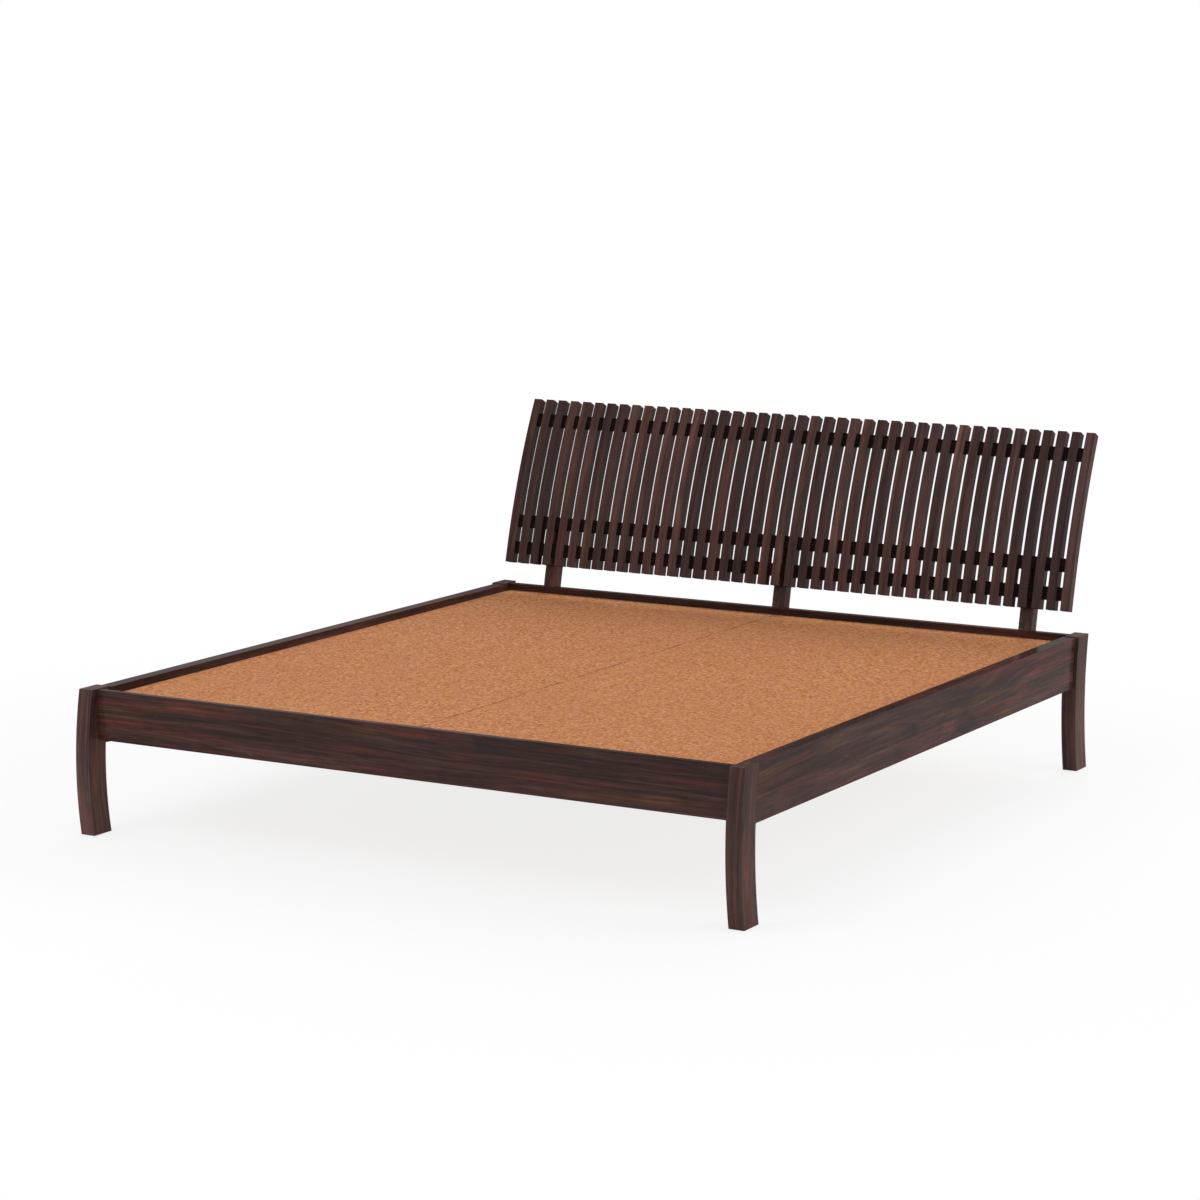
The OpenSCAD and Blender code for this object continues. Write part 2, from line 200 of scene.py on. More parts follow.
def bump(tree, shader, height, distance, strength):
    """Small relief, with a height from 0 to 1 over a distance in metres."""
    made = add(tree, "ShaderNodeBump", {"Height": height, "Distance": distance, "Strength": strength})
    tree.links.new(made.outputs["Normal"], shader.inputs["Normal"])


# Grain space: x runs along the grain and y and z across it, in metres

def grain_along_x(tree):
    return place(tree)


def grain_along_y(tree):
    x, y, z = position(tree)
    return vector(tree, y, x, z)


def grain_along_z(tree):
    x, y, z = position(tree)
    return vector(tree, z, x, y)


def grain_along_arc(tree, centre, radius):
    """Grain that follows an arc round a centre given as (y, z), on its +Y side."""
    x, y, z = position(tree)
    back = calc(tree, "SUBTRACT", centre[0], y)
    up = calc(tree, "SUBTRACT", z, centre[1])
    angle = calc(tree, "ARCTAN2", up, back)
    along = calc(tree, "MULTIPLY", angle, radius)
    return vector(tree, along, x, calc(tree, "SUBTRACT", hypotenuse(tree, back, up), radius))


# Stained hardwood: three ramps over the same tones, for plain, reddish and tawny stretches of the wood

TONES = (0.36, 0.46, 0.55, 0.66)
PLAIN_STOPS = list(zip(TONES, (srgb(31, 24, 24), srgb(49, 35, 32), srgb(64, 44, 41), srgb(82, 57, 53))))
RED_STOPS = list(zip(TONES, (srgb(34, 22, 22), srgb(61, 34, 31), srgb(84, 43, 37), srgb(104, 55, 44))))
TAWNY_STOPS = list(zip(TONES, (srgb(38, 27, 21), srgb(62, 42, 29), srgb(86, 58, 38), srgb(116, 82, 52))))
INK = srgb(38, 36, 38)
PORE = srgb(26, 19, 19)


def hardwood_group():
    """Streaks, rings and swooping figure of a dark stained hardwood, from a point in grain space."""
    tree = bpy.data.node_groups.new("Dark hardwood", "ShaderNodeTree")
    face = tree.interface
    face.new_socket("Vector", in_out="INPUT", socket_type="NodeSocketVector")
    face.new_socket("Pith", in_out="INPUT", socket_type="NodeSocketVector")
    face.new_socket("Color", in_out="OUTPUT", socket_type="NodeSocketColor")
    face.new_socket("Roughness", in_out="OUTPUT", socket_type="NodeSocketFloat")
    face.new_socket("Height", in_out="OUTPUT", socket_type="NodeSocketFloat")
    enter = tree.nodes.new("NodeGroupInput")
    leave = tree.nodes.new("NodeGroupOutput")
    point, pith = enter.outputs[0], enter.outputs[1]

    # The grain wanders across the board, slowly over its length and a little from line to line
    wander = add(tree, "ShaderNodeTexNoise", {"Vector": stretch(tree, point, (1.0, 6.0, 6.0)), "Scale": 1.0,
                                              "Detail": 3.0, "Roughness": 0.40})
    swing = stretch(tree, wander.outputs["Color"], (0.0, 0.076, 0.076), (0.0, -0.038, -0.038))
    moved = add(tree, "ShaderNodeVectorMath", {0: point, 1: swing}, operation="ADD").outputs[0]

    # Growth rings round the pith, which a flat face cuts into long swoops
    from_pith = add(tree, "ShaderNodeVectorMath", {0: moved, 1: pith}, operation="SUBTRACT").outputs[0]
    split = add(tree, "ShaderNodeSeparateXYZ", {0: from_pith})
    across = vector(tree, 0.0, split.outputs[1], split.outputs[2])
    ring = add(tree, "ShaderNodeVectorMath", {0: across}, operation="LENGTH").outputs["Value"]
    rings = noise_along(tree, ring, 60.0, detail=5.0, roughness=0.72)

    # Long streaks, fine fibres, and the soft mottle of interlocked grain
    streaks = noise(tree, stretch(tree, moved, (4.5, 170.0, 170.0)), detail=4.0, roughness=0.65)
    fibres = noise(tree, stretch(tree, moved, (16.0, 1100.0, 1100.0)), detail=2.0, roughness=0.6)
    mottle = noise(tree, stretch(tree, moved, (30.0, 24.0, 24.0)), detail=4.0, roughness=0.65)
    bands = noise(tree, stretch(tree, moved, (2.6, 58.0, 58.0), (2.0, 6.0, 1.0)), detail=3.0, roughness=0.5)
    drift = noise(tree, stretch(tree, moved, (1.3, 15.0, 15.0), (9.0, 3.0, 4.0)), detail=2.0)
    tone = calc(tree, "MULTIPLY_ADD", rings, 0.36, -0.20)
    for part, weight in ((streaks, 0.34), (fibres, 0.20), (mottle, 0.08), (bands, 0.20), (drift, 0.22)):
        tone = calc(tree, "MULTIPLY_ADD", part, weight, tone)

    # Red, tawny and inky stretches over the plain colour, then the pores
    colour = ramp(tree, tone, PLAIN_STOPS)
    for scale, shift, low, high, most, other in (
            ((1.8, 26.0, 26.0), (3.0, 1.0, 5.0), 0.50, 0.66, 0.85, ramp(tree, tone, RED_STOPS)),
            ((2.2, 24.0, 24.0), (7.0, 4.0, 2.0), 0.55, 0.70, 0.80, ramp(tree, tone, TAWNY_STOPS)),
            ((6.0, 38.0, 38.0), (5.0, 8.0, 3.0), 0.60, 0.72, 0.70, INK)):
        share = noise(tree, stretch(tree, moved, scale, shift), detail=3.0, roughness=0.55)
        colour = blend(tree, spread(tree, share, low, high, 0.0, most, smooth=True), colour, other)
    pores = spread(tree, noise(tree, stretch(tree, point, (70.0, 1300.0, 1300.0)), detail=1.0), 0.64, 0.76)
    colour = blend(tree, calc(tree, "MULTIPLY", pores, 0.45), colour, PORE)

    tree.links.new(colour, leave.inputs["Color"])
    tree.links.new(spread(tree, streaks, 0.3, 0.7, 0.20, 0.13), leave.inputs["Roughness"])
    tree.links.new(calc(tree, "SUBTRACT", fibres, pores), leave.inputs["Height"])
    return tree


HARDWOOD = hardwood_group()
# The rails are glued up from two boards. The lower one, up to this height, is a little paler and pinker
STRIP_TOP = 0.289
STRIP_TINT = (1.32, 1.19, 1.22, 1.0)
STRIP_SHIFT = (3.7, 0.6, 0.11)
# The lacquer's specular level head on, and Layer Weight's facing value, 0 head on and 1 edge on, at which
# its gloss has faded out
LACQUER_LEVEL = 0.115
LACQUER_END = 0.848
# The specular level of matt wood
MATT_LEVEL = 0.02


def lacquer(tree, shader):
    """The thin coat's gloss, which falls off towards a glancing view."""
    facing = add(tree, "ShaderNodeLayerWeight", {"Blend": 0.5}).outputs["Facing"]
    level = shader.inputs["Specular IOR Level"]
    # Stands in for the link where a material's nodes aren't read
    level.default_value = LACQUER_LEVEL / 2
    tree.links.new(spread(tree, facing, 0.0, LACQUER_END, LACQUER_LEVEL, 0.0), level)


def hardwood(name, grain, pith, shift=(0, 0, 0), lift=1.08, strip=None):
    """Dark hardwood with its own log: the pith's place across the grain, a shift into the figure, and a lift
    that makes the whole piece lighter or darker. Below the height strip it is a second, paler board."""
    made, tree, shader = new_material(name)
    point = stretch(tree, grain(tree), (1, 1, 1), shift)
    if strip is not None:
        _, _, z = position(tree)
        below = calc(tree, "LESS_THAN", z, strip)
        point = stretch(tree, vector(tree, below, below, below), STRIP_SHIFT, point)
    wood = add(tree, "ShaderNodeGroup", node_tree=HARDWOOD)
    tree.links.new(point, wood.inputs["Vector"])
    wood.inputs["Pith"].default_value = [p + s for p, s in zip(pith, shift)]
    colour = blend(tree, 1.0, wood.outputs["Color"], (lift, lift, lift, 1.0), "MULTIPLY")
    if strip is not None:
        colour = blend(tree, below, colour, STRIP_TINT, "MULTIPLY")
    tree.links.new(colour, shader.inputs["Base Color"])
    tree.links.new(wood.outputs["Roughness"], shader.inputs["Roughness"])
    lacquer(tree, shader)
    bump(tree, shader, wood.outputs["Height"], 0.0001, 0.2)
    return made


def leg_grain(tree, nose):
    """Grain that follows the bow of a leg whose foremost point is at y = nose."""
    return grain_along_arc(tree, (nose + LEG_RADIUS, LEG_HEIGHT / 2), LEG_RADIUS)


def recolour(material, change):
    """Replaces a material's base colour by what change(tree, colour) makes of it."""
    tree = material.node_tree
    colour = next(n for n in tree.nodes if n.type == "BSDF_PRINCIPLED").inputs["Base Color"]
    tree.links.new(change(tree, colour.links[0].from_socket), colour)


def multiply_base_colour(material, factor):
    """Multiplies a material's base colour by what factor(tree) gives."""
    recolour(material, lambda tree, colour: blend(tree, 1.0, colour, factor(tree), "MULTIPLY"))


def even_hue(tree, colour, hue, amount):
    """Draws a colour towards one hue, whose own luminance is 1, and keeps its lightness."""
    grey = add(tree, "ShaderNodeRGBToBW", {0: colour}).outputs[0]
    return blend(tree, amount, colour, blend(tree, 1.0, hue, grey, "MULTIPLY"))


def paint_floor_light(material, high, low, more):
    """Painted floor light: a material's wood lighter from the height high down to low, by the factor more."""
    multiply_base_colour(material, lambda tree: spread(tree, position(tree)[2], low, high, more, 1.0, smooth=True))


def rail_clouds(tree):
    """Darker and lighter reaches along a side rail, and a darker end at the foot."""
    _, y, _ = position(tree)
    slow = noise(tree, stretch(tree, place(tree), (1.0, 3.2, 16.0), (2.0, 6.4, 1.0)), detail=2.0)
    clouds = spread(tree, slow, 0.34, 0.66, 0.80, 1.26)
    foot_end = spread(tree, y, -1.02, -0.50, 0.82, 1.04)
    return calc(tree, "MULTIPLY", clouds, foot_end)


# The slats' common hue, as a linear colour with a luminance of 1, and how far each is drawn to it
SLAT_HUE = (1.74, 0.81, 0.70, 1.0)
SLAT_EVENNESS = 0.42


def slat_luck(tree, salt):
    """Random numbers from 0 to 1 for each slat, told by its place across the bed. Another salt, a whole
    number, gives others."""
    x, _, _ = position(tree)
    number = calc(tree, "FLOOR", calc(tree, "MULTIPLY_ADD", x, 1 / SLAT_PITCH, SLAT_COUNT / 2 + salt))
    return add(tree, "ShaderNodeTexWhiteNoise", {"W": number}, noise_dimensions="1D")


def slat_grain(tree):
    """Grain along the slats' arc, with a different log for each slat."""
    along = grain_along_arc(tree, BOARD_CENTRE, BOARD_RADIUS)
    return stretch(tree, slat_luck(tree, 0).outputs["Color"], (9.0, 5.0, 7.0), along)


def slat_tint(tree):
    """Light and dark slats, some of them tawny and some plum."""
    light = spread(tree, slat_luck(tree, 300).outputs["Value"], 0.0, 1.0, 0.76, 1.38)
    warm = slat_luck(tree, 700).outputs["Value"]
    hue = blend(tree, warm, (0.99, 1.025, 1.09, 1.0), (1.02, 1.035, 1.04, 1.0))
    return blend(tree, 1.0, hue, light, "MULTIPLY")


def slat_wood():
    """Hardwood strips, each with its own tone."""
    made = hardwood("slat_wood", slat_grain, (0, -0.05, 0.08), lift=1.36)
    recolour(made, lambda tree, colour: even_hue(tree, colour, SLAT_HUE, SLAT_EVENNESS))
    multiply_base_colour(made, slat_tint)
    return made


def flakes(tree, coordinates):
    """A value that is the same over each of many small angular flakes."""
    cells = add(tree, "ShaderNodeTexVoronoi", {"Vector": coordinates, "Scale": 1.0, "Randomness": 1.0})
    return add(tree, "ShaderNodeSeparateColor", {"Color": cells.outputs["Color"]}).outputs["Red"]


# How far from the middle the painted shade of the deck's seam starts and is full
SEAM_OUTER = 0.0036
SEAM_INNER = 0.0016


def deck_board():
    """Pressed fibre board: pale orange brown, matt, with light and dark flecks of its chips."""
    made, tree, shader = new_material("deck_board")
    x, _, _ = position(tree)
    point = place(tree)
    chips = noise(tree, stretch(tree, point, (120.0, 150.0, 120.0)), detail=1.0, roughness=0.4)
    along = flakes(tree, stretch(tree, point, (170.0, 420.0, 300.0)))
    across = flakes(tree, stretch(tree, point, (420.0, 170.0, 300.0), (5, 1, 2)))
    patches = noise(tree, stretch(tree, point, (60.0, 34.0, 60.0)), detail=3.0, roughness=0.6)
    drift = noise(tree, stretch(tree, point, (2.2, 2.2, 2.2)), detail=2.0)
    tone = calc(tree, "MULTIPLY_ADD", chips, 0.76, calc(tree, "MULTIPLY", patches, 0.12))
    tone = calc(tree, "MULTIPLY_ADD", calc(tree, "ADD", along, across), 0.06, tone)
    colour = ramp(tree, tone, [(0.22, srgb(118, 67, 38)), (0.40, srgb(171, 110, 71)),
                               (0.58, srgb(199, 139, 98)), (0.80, srgb(222, 170, 125))])
    hue = noise(tree, stretch(tree, point, (34.0, 22.0, 34.0), (6, 3, 8)), detail=1.0, roughness=0.5)
    hue = blend(tree, spread(tree, hue, 0.3, 0.7), (0.98, 1.0, 1.11, 1.0), (1.015, 1.0, 0.89, 1.0))
    colour = blend(tree, 1.0, colour, hue, "MULTIPLY")
    colour = blend(tree, spread(tree, drift, 0.35, 0.65, 0.0, 0.2), colour, srgb(178, 116, 80))
    dark = noise(tree, stretch(tree, point, (130.0, 90.0, 130.0), (4, 2, 9)), detail=2.0, roughness=0.6)
    dark = calc(tree, "MULTIPLY", spread(tree, dark, 0.64, 0.74), spread(tree, along, 0.3, 0.6, 0.35, 0.9))
    colour = blend(tree, dark, colour, srgb(108, 64, 42))
    pale = noise(tree, stretch(tree, point, (190.0, 130.0, 190.0), (1, 7, 3)), detail=2.0, roughness=0.6)
    pale = calc(tree, "MULTIPLY", spread(tree, pale, 0.66, 0.76), spread(tree, across, 0.3, 0.6, 0.3, 0.8))
    colour = blend(tree, pale, colour, srgb(228, 182, 140))
    # Painted shade in the groove of the middle seam, deeper here and fainter there
    edge = spread(tree, calc(tree, "ABSOLUTE", x), SEAM_OUTER, SEAM_INNER)
    seam_shade_patches = noise(tree, stretch(tree, point, (20.0, 14.0, 20.0), (3, 5, 2)), detail=2.0)
    seam_shade_patches = spread(tree, seam_shade_patches, 0.44, 0.60, 0.1, 0.75)
    colour = blend(tree, calc(tree, "MULTIPLY", edge, seam_shade_patches), colour, srgb(66, 38, 26))
    tree.links.new(colour, shader.inputs["Base Color"])
    tree.links.new(spread(tree, tone, 0.3, 0.7, 0.85, 0.7), shader.inputs["Roughness"])
    shader.inputs["Specular IOR Level"].default_value = MATT_LEVEL
    bump(tree, shader, tone, 0.0004, 0.3)
    return made


def batten_stain():
    """Near-black stained wood."""
    made, tree, shader = new_material("batten_stain")
    point = grain_along_x(tree)
    streaks = noise(tree, stretch(tree, point, (5.0, 240.0, 240.0)), detail=4.0, roughness=0.6)
    colour = ramp(tree, streaks, [(0.38, srgb(15, 9, 8)), (0.52, srgb(24, 14, 12)), (0.68, srgb(37, 22, 18))])
    tree.links.new(colour, shader.inputs["Base Color"])
    tree.links.new(spread(tree, streaks, 0.3, 0.7, 0.45, 0.35), shader.inputs["Roughness"])
    shader.inputs["Specular IOR Level"].default_value = MATT_LEVEL
    bump(tree, shader, streaks, 0.0002, 0.3)
    return made


def plain_timber(name, grain, shift):
    """Planed softwood with straight rings, a few fine streaks and no lacquer."""
    made, tree, shader = new_material(name)
    point = stretch(tree, grain(tree), (1, 1, 1), shift)
    wander = noise(tree, stretch(tree, point, (1.2, 6.0, 6.0)), detail=2.0)
    split = add(tree, "ShaderNodeSeparateXYZ", {0: point})
    depth = calc(tree, "MULTIPLY_ADD", wander, 0.06, calc(tree, "MULTIPLY_ADD", split.outputs[1], 0.35,
                                                          split.outputs[2]))
    rings = noise_along(tree, depth, 230.0, detail=1.0)
    fibres = noise(tree, stretch(tree, point, (12.0, 700.0, 700.0)), detail=2.0)
    tone = calc(tree, "MULTIPLY_ADD", rings, 0.7, calc(tree, "MULTIPLY", fibres, 0.3))
    colour = ramp(tree, tone, [(0.30, srgb(168, 126, 82)), (0.48, srgb(196, 158, 112)),
                               (0.66, srgb(214, 182, 138))])
    tree.links.new(colour, shader.inputs["Base Color"])
    tree.links.new(spread(tree, tone, 0.3, 0.7, 0.62, 0.75), shader.inputs["Roughness"])
    shader.inputs["Specular IOR Level"].default_value = 0.3
    bump(tree, shader, tone, 0.0002, 0.35)
    return made


def zinc_steel(name, crystal):
    """Zinc-plated steel with faint crystals of the given size and light smudges."""
    made, tree, shader = new_material(name)
    point = place(tree)
    cells = add(tree, "ShaderNodeTexVoronoi", {"Vector": point, "Scale": 1 / crystal}).outputs["Color"]
    grey = add(tree, "ShaderNodeSeparateColor", {0: cells}).outputs[0]
    smudge = noise(tree, stretch(tree, point, (35.0, 35.0, 35.0)), detail=3.0)
    tone = calc(tree, "MULTIPLY_ADD", grey, 0.4, calc(tree, "MULTIPLY", smudge, 0.6))
    colour = ramp(tree, tone, [(0.2, srgb(160, 162, 164)), (0.8, srgb(205, 206, 204))])
    tree.links.new(colour, shader.inputs["Base Color"])
    tree.links.new(spread(tree, tone, 0.2, 0.8, 0.42, 0.28), shader.inputs["Roughness"])
    shader.inputs["Metallic"].default_value = 1.0
    return made


def glide_nylon():
    """Dark nylon with a fine grain."""
    made, tree, shader = new_material("glide_nylon")
    grain = noise(tree, stretch(tree, place(tree), (900.0, 900.0, 900.0)), detail=2.0)
    colour = ramp(tree, grain, [(0.3, srgb(36, 35, 34)), (0.7, srgb(50, 48, 46))])
    tree.links.new(colour, shader.inputs["Base Color"])
    tree.links.new(spread(tree, grain, 0.3, 0.7, 0.5, 0.65), shader.inputs["Roughness"])
    bump(tree, shader, grain, 0.0001, 0.3)
    return made


# Finishing the CAD's pieces

# Points nearer to each other than this are one
SAME_POINT = 0.00002
# Faces that turn by less than this lie in one plane
SAME_PLANE = math.radians(0.2)
# Edges where the faces turn by more than this are real, and the others are a curve's facets
SHARP = math.radians(35)
# Shorter edges are the facets of a hole's rim, which stay unrounded
LONG_ENOUGH = 0.003


def compare(tree, value, operation, limit):
    """The output of a geometry node that compares a value with a limit."""
    made = add(tree, "FunctionNodeCompare", {0: value, 1: limit}, data_type="FLOAT", operation=operation)
    return made.outputs[0]


def geometry_group(name):
    """An empty group of geometry nodes: its tree, and the sockets where the mesh comes in and goes out."""
    tree = bpy.data.node_groups.new(name, "GeometryNodeTree")
    tree.interface.new_socket("Geometry", in_out="INPUT", socket_type="NodeSocketGeometry")
    tree.interface.new_socket("Geometry", in_out="OUTPUT", socket_type="NodeSocketGeometry")
    enter = tree.nodes.new("NodeGroupInput")
    leave = tree.nodes.new("NodeGroupOutput")
    return tree, enter.outputs[0], leave.inputs[0]


def smooth_by_angle():
    """Geometry nodes that drop the imported normals and shade smooth over edges that aren't sharp."""
    tree, enter, leave = geometry_group("Smooth by edge angle")
    angle = add(tree, "GeometryNodeInputMeshEdgeAngle").outputs["Unsigned Angle"]
    gentle = compare(tree, angle, "LESS_THAN", SHARP)
    faces = add(tree, "GeometryNodeSetShadeSmooth", {"Geometry": enter, "Shade Smooth": True}, domain="FACE")
    edges = add(tree, "GeometryNodeSetShadeSmooth", {"Geometry": faces.outputs[0], "Shade Smooth": gentle},
                domain="EDGE")
    tree.links.new(edges.outputs[0], leave)
    return tree


def mark_outer_edges():
    """Geometry nodes that mark the edges to round: sharp, convex, and longer than a hole's facets."""
    tree, enter, leave = geometry_group("Mark outer edges")
    angle = add(tree, "GeometryNodeInputMeshEdgeAngle").outputs["Signed Angle"]
    ends = add(tree, "GeometryNodeInputMeshEdgeVertices")
    length = add(tree, "ShaderNodeVectorMath", {0: ends.outputs["Position 1"], 1: ends.outputs["Position 2"]},
                 operation="DISTANCE").outputs["Value"]
    both = add(tree, "FunctionNodeBooleanMath", {0: compare(tree, angle, "GREATER_THAN", SHARP),
                                                 1: compare(tree, length, "GREATER_THAN", LONG_ENOUGH)},
               operation="AND").outputs[0]
    marked = add(tree, "GeometryNodeStoreNamedAttribute",
                 {"Geometry": enter, "Name": "bevel_weight_edge", "Value": both},
                 data_type="FLOAT", domain="EDGE")
    tree.links.new(marked.outputs[0], leave)
    return tree


SMOOTH = smooth_by_angle()
OUTER = mark_outer_edges()


def modify(obj, kind, name, **settings):
    """Gives an object one more modifier, with its settings."""
    made = obj.modifiers.new(name, kind)
    for key, value in settings.items():
        setattr(made, key, value)


def dress(names, material, edge):
    """Gives CAD nodes a material, and rounds their outer edges by edge metres."""
    for name in names:
        obj = NODES[name]
        for slot in obj.material_slots:
            slot.link = "OBJECT"
            slot.material = material
        modify(obj, "WELD", "Weld", merge_threshold=SAME_POINT)
        modify(obj, "DECIMATE", "Flat faces joined", decimate_type="DISSOLVE", angle_limit=SAME_PLANE)
        modify(obj, "NODES", "Outer edges", node_group=OUTER)
        modify(obj, "BEVEL", "Edges", width=edge, segments=3, limit_method="WEIGHT", use_clamp_overlap=False)
        modify(obj, "NODES", "Smooth", node_group=SMOOTH)
        modify(obj, "WEIGHTED_NORMAL", "Flat faces", keep_sharp=True, weight=90)


# Each kind of piece's rounding
FRAME_EDGE = 0.0008
SLAT_EDGE = 0.0006
DECK_EDGE = 0.0012
TIMBER_EDGE = 0.0015
STEEL_EDGE = 0.0004
GLIDE_EDGE = 0.0003

for name, nose, pith, shift, lift in (
        ("leg_foot_left", NOSE_FOOT, (0, 0.03, -0.16), (1.3, 4.1, 0.7), 1.82),
        ("leg_foot_right", NOSE_FOOT, (0, -0.06, 0.09), (6.2, 0.4, 2.9), 1.36),
        ("leg_head_left", NOSE_HEAD, (0, 0.03, -0.16), (3.7, 2.2, 5.1), 1.5),
        ("leg_head_right", NOSE_HEAD, (0, 0.10, -0.08), (8.4, 6.0, 1.9), 1.42)):
    leg_wood = hardwood(name, lambda tree, nose=nose: leg_grain(tree, nose), pith, shift, lift)
    # Painted light from the floor: each leg lighter towards its foot
    paint_floor_light(leg_wood, high=0.32, low=0.08, more=1.46)
    dress([name], leg_wood, FRAME_EDGE)
for name, grain, pith, shift, lift in (
        ("foot_rail", grain_along_x, (0, -1.15, 0.20), (2.0, 0.0, 0.0), 1.08),
        ("head_rail", grain_along_x, (0, 1.10, 0.20), (5.0, 3.0, 1.0), 1.08),
        ("side_rail_right", grain_along_y, (0, 0.80, 0.30), (4.0, 0.0, 2.0), 1.16),
        ("side_rail_left", grain_along_y, (0, -0.80, 0.25), (7.0, 1.0, 0.0), 1.30)):
    rail_wood = hardwood(name, grain, pith, shift, lift, STRIP_TOP)
    if name.startswith("side"):
        multiply_base_colour(rail_wood, rail_clouds)
    dress([name], rail_wood, FRAME_EDGE)
dress(["centre_leg"], hardwood("centre_leg", grain_along_z, (0, 0.1, 0.1), (2.0, 8.0, 3.0)), FRAME_EDGE)
for k, (name, lift) in enumerate((("post_left", 1.25), ("post_middle", 1.15), ("post_right", 1.5))):
    dress([name], hardwood(name, grain_along_z, (0, 0.1, 0.9), (2.0 + k, 3.0 * k, 5.0), lift), FRAME_EDGE)
dress([n for n in NODES if n.startswith("slat")], slat_wood(), SLAT_EDGE)
dress(["batten_bottom", "batten_middle", "batten_top"], batten_stain(), SLAT_EDGE)
dress(["deck_panel_left", "deck_panel_right"], deck_board(), DECK_EDGE)
dress(["centre_beam", "cleat_left", "cleat_right"],
      plain_timber("timber_along", grain_along_y, (1, 0, 0)), TIMBER_EDGE)
dress(["cleat_foot", "cleat_head"] + ["cross_bearer_%d" % k for k in range(1, 6)],
      plain_timber("timber_across", grain_along_x, (5, 2, 1)), TIMBER_EDGE)
dress(["beam_shoe_foot", "beam_shoe_head", "corner_bracket_foot_left", "corner_bracket_foot_right",
       "corner_bracket_head_left", "corner_bracket_head_right"],
      zinc_steel("plated_steel", 0.004), STEEL_EDGE)
dress(["leg_glides"], glide_nylon(), GLIDE_EDGE)

# Screws, each built where the frame has its plain one: head, drive, shank, thread and point.
# A ring is a list of STEPS times (radius, height), and a row is the points that a ring gives

# Steps round a screw, four to each side of a hexagon and each lobe of a drive
STEPS = 24
HEAD_HEIGHT = {"hex": 0.004, "pan": 0.0035, "sunk": 0.0}
# How far a countersunk head reaches down, and how steeply a hexagon's corners are cut
SUNK_DEPTH = 0.0025
CHAMFER_SLOPE = 0.58
# The thread's root and the shank's plain part, as shares of the shank's radius and length
ROOT_SHARE = 0.72
PLAIN_SHARE = 0.3
# Where the thread ends and the point starts, above the screw's tip
THREAD_END = 0.0028
POINT_START = 0.0024
# A plain screw's points this near to its tip lie on its shank
NEAR_TIP = 0.001


def round_ring(radius, height):
    """A circle."""
    return [(radius, height)] * STEPS


def hex_ring(flat, height, chamfer=None):
    """A hexagon with its sides flat metres from the middle, and corners that slope down outside a radius."""
    ring = []
    for k in range(STEPS):
        radius = flat / math.cos(math.radians(30 - 15 * (k % 4)))
        drop = 0.0 if chamfer is None else CHAMFER_SLOPE * max(0.0, radius - chamfer)
        ring.append((radius, height - drop))
    return ring


def star_ring(radius, height):
    """The outline of a six-lobed drive."""
    return [(radius * (1.0, 0.9, 0.76, 0.9)[k % 4], height) for k in range(STEPS)]


def set_points(bm, stand, ring):
    """A ring's points round the local z axis of a screw that stands as the matrix says."""
    row = []
    for k, (radius, height) in enumerate(ring):
        turn = math.tau * k / STEPS
        row.append(bm.verts.new(stand @ Vector((radius * math.cos(turn), radius * math.sin(turn), height))))
    return row


def join_rows(bm, upper, lower, count=STEPS):
    """Faces between two rows, all the way round or for the first count steps."""
    for k in range(count):
        after = (k + 1) % STEPS
        bm.faces.new((upper[k], lower[k], lower[after], upper[after]))


def thread(bm, stand, crest, root, start, end, pitch, upper, lower):
    """A right-handed thread from the height start down to end, joined to the rows above and below it.
    Even rows lie in the groove, odd ones on the crest, and two rows further down is one turn on."""
    last = 2 * int((start - end) / pitch - 1.0)
    rows = []
    for row in range(last + 1):
        ring = []
        for k in range(STEPS):
            part = k / STEPS
            fade = min(1.0, (row - 1) / 2 + 1.0 - part, (last - 1 - row) / 2 + part)
            rise = (crest - root) * (row % 2) * max(fade, 0.0)
            ring.append((root + rise, start - pitch * (row / 2 + 1.0 - part)))
        rows.append(set_points(bm, stand, ring))
    for this, after in zip(rows, rows[1:]):
        join_rows(bm, this, after, STEPS - 1)
    for row in range(2, last):
        bm.faces.new((rows[row][-1], rows[row + 1][-1], rows[row - 1][0], rows[row - 2][0]))
    join_rows(bm, upper, rows[0], STEPS - 1)
    bm.faces.new((upper[-1], rows[0][-1], rows[1][-1], rows[2][-1], rows[0][0], upper[0]))
    join_rows(bm, rows[last], lower, STEPS - 1)
    bm.faces.new((rows[last][-1], lower[-1], lower[0], rows[last][0], rows[last - 1][0], rows[last - 2][0]))


def head_rings(kind, reach):
    """A head's rings, from its drive outwards and down to its seat, for a head of radius reach."""
    high = HEAD_HEIGHT[kind]
    if kind == "hex":
        flat = reach * math.cos(math.radians(30))
        return [round_ring(0.35 * flat, high - 0.0004), round_ring(0.55 * flat, high - 0.0002),
                round_ring(0.66 * flat, high), hex_ring(flat, high, 0.94 * flat), hex_ring(flat, 0.0006),
                round_ring(0.96 * flat, 0.0006), round_ring(0.96 * flat, 0.0)]
    if kind == "pan":
        return [hex_ring(0.0021, high - 0.0024), hex_ring(0.0021, high - 0.0002), round_ring(0.0029, high),
                round_ring(0.62 * reach, high - 0.0001), round_ring(0.82 * reach, high - 0.0006),
                round_ring(0.94 * reach, high - 0.0014), round_ring(reach, high - 0.0025),
                round_ring(reach, 0.0)]
    return [star_ring(0.0019, -0.0017), star_ring(0.0019, -0.0001), round_ring(0.0024, 0.0),
            round_ring(reach - 0.0003, 0.0), round_ring(reach, -0.0003)]


